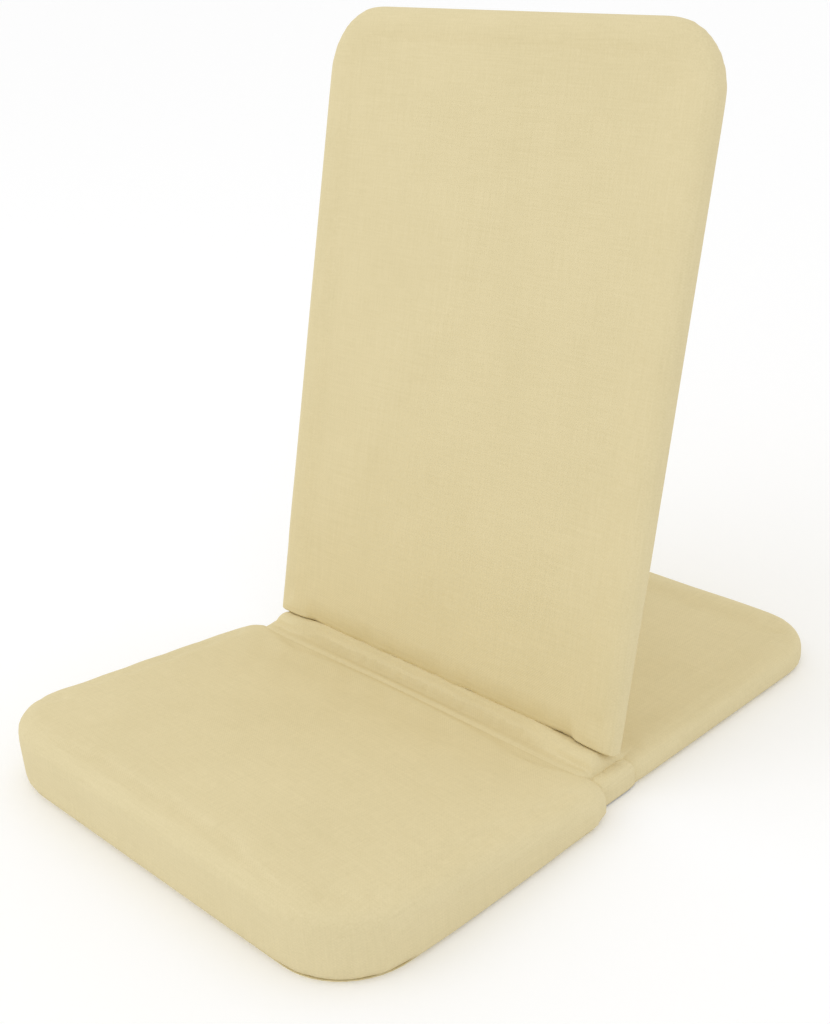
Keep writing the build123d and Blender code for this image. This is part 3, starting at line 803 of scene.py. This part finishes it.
# Sleeves round the floor tubes beside the hinges: rounded loops from the floor up, closed on top.
# Each row is height, from and to behind the hinge line, and from and to across
sleeve_loops = np.array(
    (
        (0.0014, -0.0250, 0.0370, 0.2350, 0.2572),
        (0.0040, -0.0258, 0.0378, 0.2310, 0.2588),
        (0.0120, -0.0260, 0.0380, 0.2260, 0.2593),
        (0.0200, -0.0250, 0.0375, 0.2220, 0.2590),
        (0.0240, -0.0220, 0.0360, 0.2170, 0.2575),
        (0.0268, -0.0180, 0.0330, 0.2145, 0.2545),
        (0.0280, -0.0120, 0.0290, 0.2140, 0.2500),
        (0.0284, -0.0040, 0.0210, 0.2200, 0.2440),
        (0.0285, 0.0080, 0.0090, 0.2310, 0.2330),
    )
)


def squared(wave, squareness=0.4):
    """Flattens a sine wave's tops, so that a circle comes out as a rounded square."""
    return np.sign(wave) * np.abs(wave) ** squareness


for name, node, side in (
    ("hinge_sleeve_right_canvas", "hinge_sleeve_right", 1),
    ("hinge_sleeve_left_canvas", "hinge_sleeve_left", -1),
):
    sleeve = add_grid(name, 96, 40)
    co = places(sleeve)
    angle = (co[:, X] + 0.5) * 2 * pi
    level = (co[:, Y] + 0.5) * (len(sleeve_loops) - 1)
    height, front_end, rear_end, inner, outer = (
        np.interp(level, range(len(sleeve_loops)), column) for column in sleeve_loops.T
    )
    folds = 0.0006 * ripple(angle / (2 * pi), (0.11, 0.17)) * ramp(level, 2, 4)
    co[:, X] = side * ((inner + outer) / 2 + squared(np.cos(angle)) * (outer - inner) / 2)
    co[:, Y] = hinge_y + (front_end + rear_end) / 2
    co[:, Y] += squared(np.sin(angle)) * (rear_end - front_end) / 2
    co[:, Z] = height + folds
    put(sleeve, co)
    pick(sleeve, "VERT", lambda place: True)
    bpy.ops.mesh.remove_doubles(threshold=0.00002)
    bpy.ops.mesh.select_all(action="SELECT")
    bpy.ops.mesh.normals_make_consistent(inside=False)
    bpy.ops.object.mode_set(mode="OBJECT")
    skin(sleeve)
    finish_piece(sleeve, canvas, "base", node)


def add_tape(name, low, high, nap):
    """Flat tape with a thick selvedge along the edges of the faces that carry the nap."""
    piece = add_box(name, low, high)
    pick(piece, "FACE", nap)
    bpy.ops.mesh.inset(thickness=0.0011, depth=-0.0002)
    bpy.ops.mesh.inset(thickness=0.0004, depth=0.0001)
    bpy.ops.object.mode_set(mode="OBJECT")
    return piece


loop_bottom = tail_height + tape_gap
hook_bottom = loop_bottom + tape_thickness + tape_gap
for name, node, bottom in (
    ("flap_loop_strip", "flap_loop_tape", loop_bottom),
    ("flap_hook_strip", "flap_hook_tape", hook_bottom),
):
    strip = add_tape(
        name,
        (-tape_half, tape_front, bottom),
        (tape_half, tape_rear, bottom + tape_thickness),
        faces_towards(Z, 1),
    )
    finish_piece(strip, tape_nylon, "base", node)

# In the backrest's own frame, inside the hem
for name, node, depth in (
    ("back_loop_strip", "back_loop_tape", loop_depth),
    ("back_hook_strip", "back_hook_tape", hook_depth),
):
    strip = add_tape(
        name,
        (-tape_half, depth, tape_foot),
        (tape_half, depth + tape_thickness, tape_foot + tape_width),
        faces_towards(Y, -1),
    )
    lean_back(strip)
    finish_piece(strip, tape_nylon, "backrest", node)

# The hem lies flat along the foot, and turns up behind the tapes
hem_front, hem_rear = hem_depths
hem = add_box(
    "back_hem_canvas", (-hem_half, hem_front, hem_foot), (hem_half, hem_rear, hem_foot + cloth)
)
pick(hem, "FACE", faces_towards(Y, 1))
bpy.ops.mesh.extrude_region_move(TRANSFORM_OT_translate={"value": (0, cloth, 0)})
bpy.ops.object.mode_set(mode="OBJECT")
pick(hem, "FACE", lambda middle, facing: facing.z > 0.7 and middle.y > hem_rear)
bpy.ops.mesh.extrude_region_move(TRANSFORM_OT_translate={"value": (0, 0, hem_turn_up)})
bpy.ops.object.mode_set(mode="OBJECT")
lean_back(hem)
finish_piece(hem, back_canvas, "backrest", "back_hem_flap")

# One flat panel closes the whole underside, turned in along its edge
under_half = seat_half - floor_roll
under_front = seat_front + floor_roll
under_rear = tail_rear - floor_roll
under = add_box(
    "underside_canvas", (-under_half, under_front, 0), (under_half, under_rear, cloth)
)
cut(under, (0, bend_y, 0), (0, 1, 0))
cut(under, (0, seat_rear, 0), (0, 1, 0))
pick(under, "VERT", lambda co: co.y > seat_rear - 0.001)
bpy.ops.transform.resize(
    value=((tail_half - floor_roll) / under_half, 1, 1), center_override=(0, 0, 0)
)
round_edges(under, edges_along(Z, Y, under_front), seat_corner - floor_roll, 12)
round_edges(under, edges_along(Z, Y, under_rear), tail_corner - floor_roll, 12)
pick(under, "FACE", faces_towards(Z, -1))
bpy.ops.mesh.inset(thickness=0.010, depth=0)
bpy.ops.mesh.inset(thickness=0.0012, depth=-0.0003)
bpy.ops.object.mode_set(mode="OBJECT")
finish_piece(under, canvas, "base", "base_bottom_cover")

# ---- Camera ----

photo_height = 1024
focal_pixels = 1515.4
turn = radians(47.8)
rise = radians(24.22)
roll = radians(-4.74)
distance = 1.6111
aim = Vector((-0.0438, 0.0462 + hinge_y, 0.2095))

backwards = Vector((sin(turn) * cos(rise), -cos(turn) * cos(rise), sin(rise)))
across = Vector((0, 0, 1)).cross(backwards).normalized()
upwards = backwards.cross(across)
right = across * cos(roll) + upwards * sin(roll)
above = upwards * cos(roll) - across * sin(roll)
lens = bpy.data.cameras.new("camera")
lens.lens = focal_pixels / photo_height * lens.sensor_width
camera = bpy.data.objects.new("camera", lens)
bpy.context.scene.collection.objects.link(camera)
turned = Matrix((right, above, backwards)).transposed().to_4x4()
camera.matrix_world = Matrix.Translation(aim + backwards * distance) @ turned
bpy.context.scene.camera = camera
bpy.context.scene.view_settings.view_transform = "Standard"

# ---- Floor, world and lamp ----


def background_rays(tree):
    """1 for the rays that show the background itself, 0 for those that light the chair."""
    path = add_node(tree, "ShaderNodeLightPath").outputs
    shown = path["Is Camera Ray"]
    for ray in ("Is Glossy Ray", "Is Transmission Ray"):
        shown = add_node(
            tree, "ShaderNodeMath", {0: shown, 1: path[ray]}, operation="MAXIMUM"
        ).outputs[0]
    return shown


# Matt white paper: catches the shadow, and is full white where nothing shades it
paper, tree, shader = new_material("matt_white_paper")
shader.inputs["Base Color"].default_value = (0.92, 0.92, 0.92, 1)
shader.inputs["Roughness"].default_value = 1.0
glow = add_node(
    tree, "ShaderNodeMath", {0: background_rays(tree), 1: 0.10}, operation="MULTIPLY"
).outputs[0]
shader.inputs["Emission Color"].default_value = (1, 1, 1, 1)
tree.links.new(glow, shader.inputs["Emission Strength"])

bpy.ops.object.select_all(action="DESELECT")
bpy.ops.mesh.primitive_plane_add(size=160, location=(0, 0, 0))
floor = bpy.context.active_object
floor.name = "floor"
floor.data.materials.append(paper)

# A white studio that lights the chair a little less than it shows
world = bpy.data.worlds.new("studio")
world.use_nodes = True
bpy.context.scene.world = world
tree = world.node_tree
ambient = 0.95
level = add_node(
    tree,
    "ShaderNodeMapRange",
    {"Value": background_rays(tree), "To Min": ambient, "To Max": 1.0},
).outputs["Result"]
sky = tree.nodes["Background"]
sky.inputs["Color"].default_value = (1, 1, 1, 1)
tree.links.new(level, sky.inputs["Strength"])

# Large square lamp on the left in front of the chair, turned towards it
light = bpy.data.lights.new("key", "AREA")
light.size = 2.0
light.energy = 11
lamp = bpy.data.objects.new("key", light)
bpy.context.scene.collection.objects.link(lamp)
lamp.location = (-1.6, -2.5, 2.4)
towards = Vector((0, 0, 0.2)) - lamp.location
lamp.rotation_euler = towards.to_track_quat("-Z", "Y").to_euler()
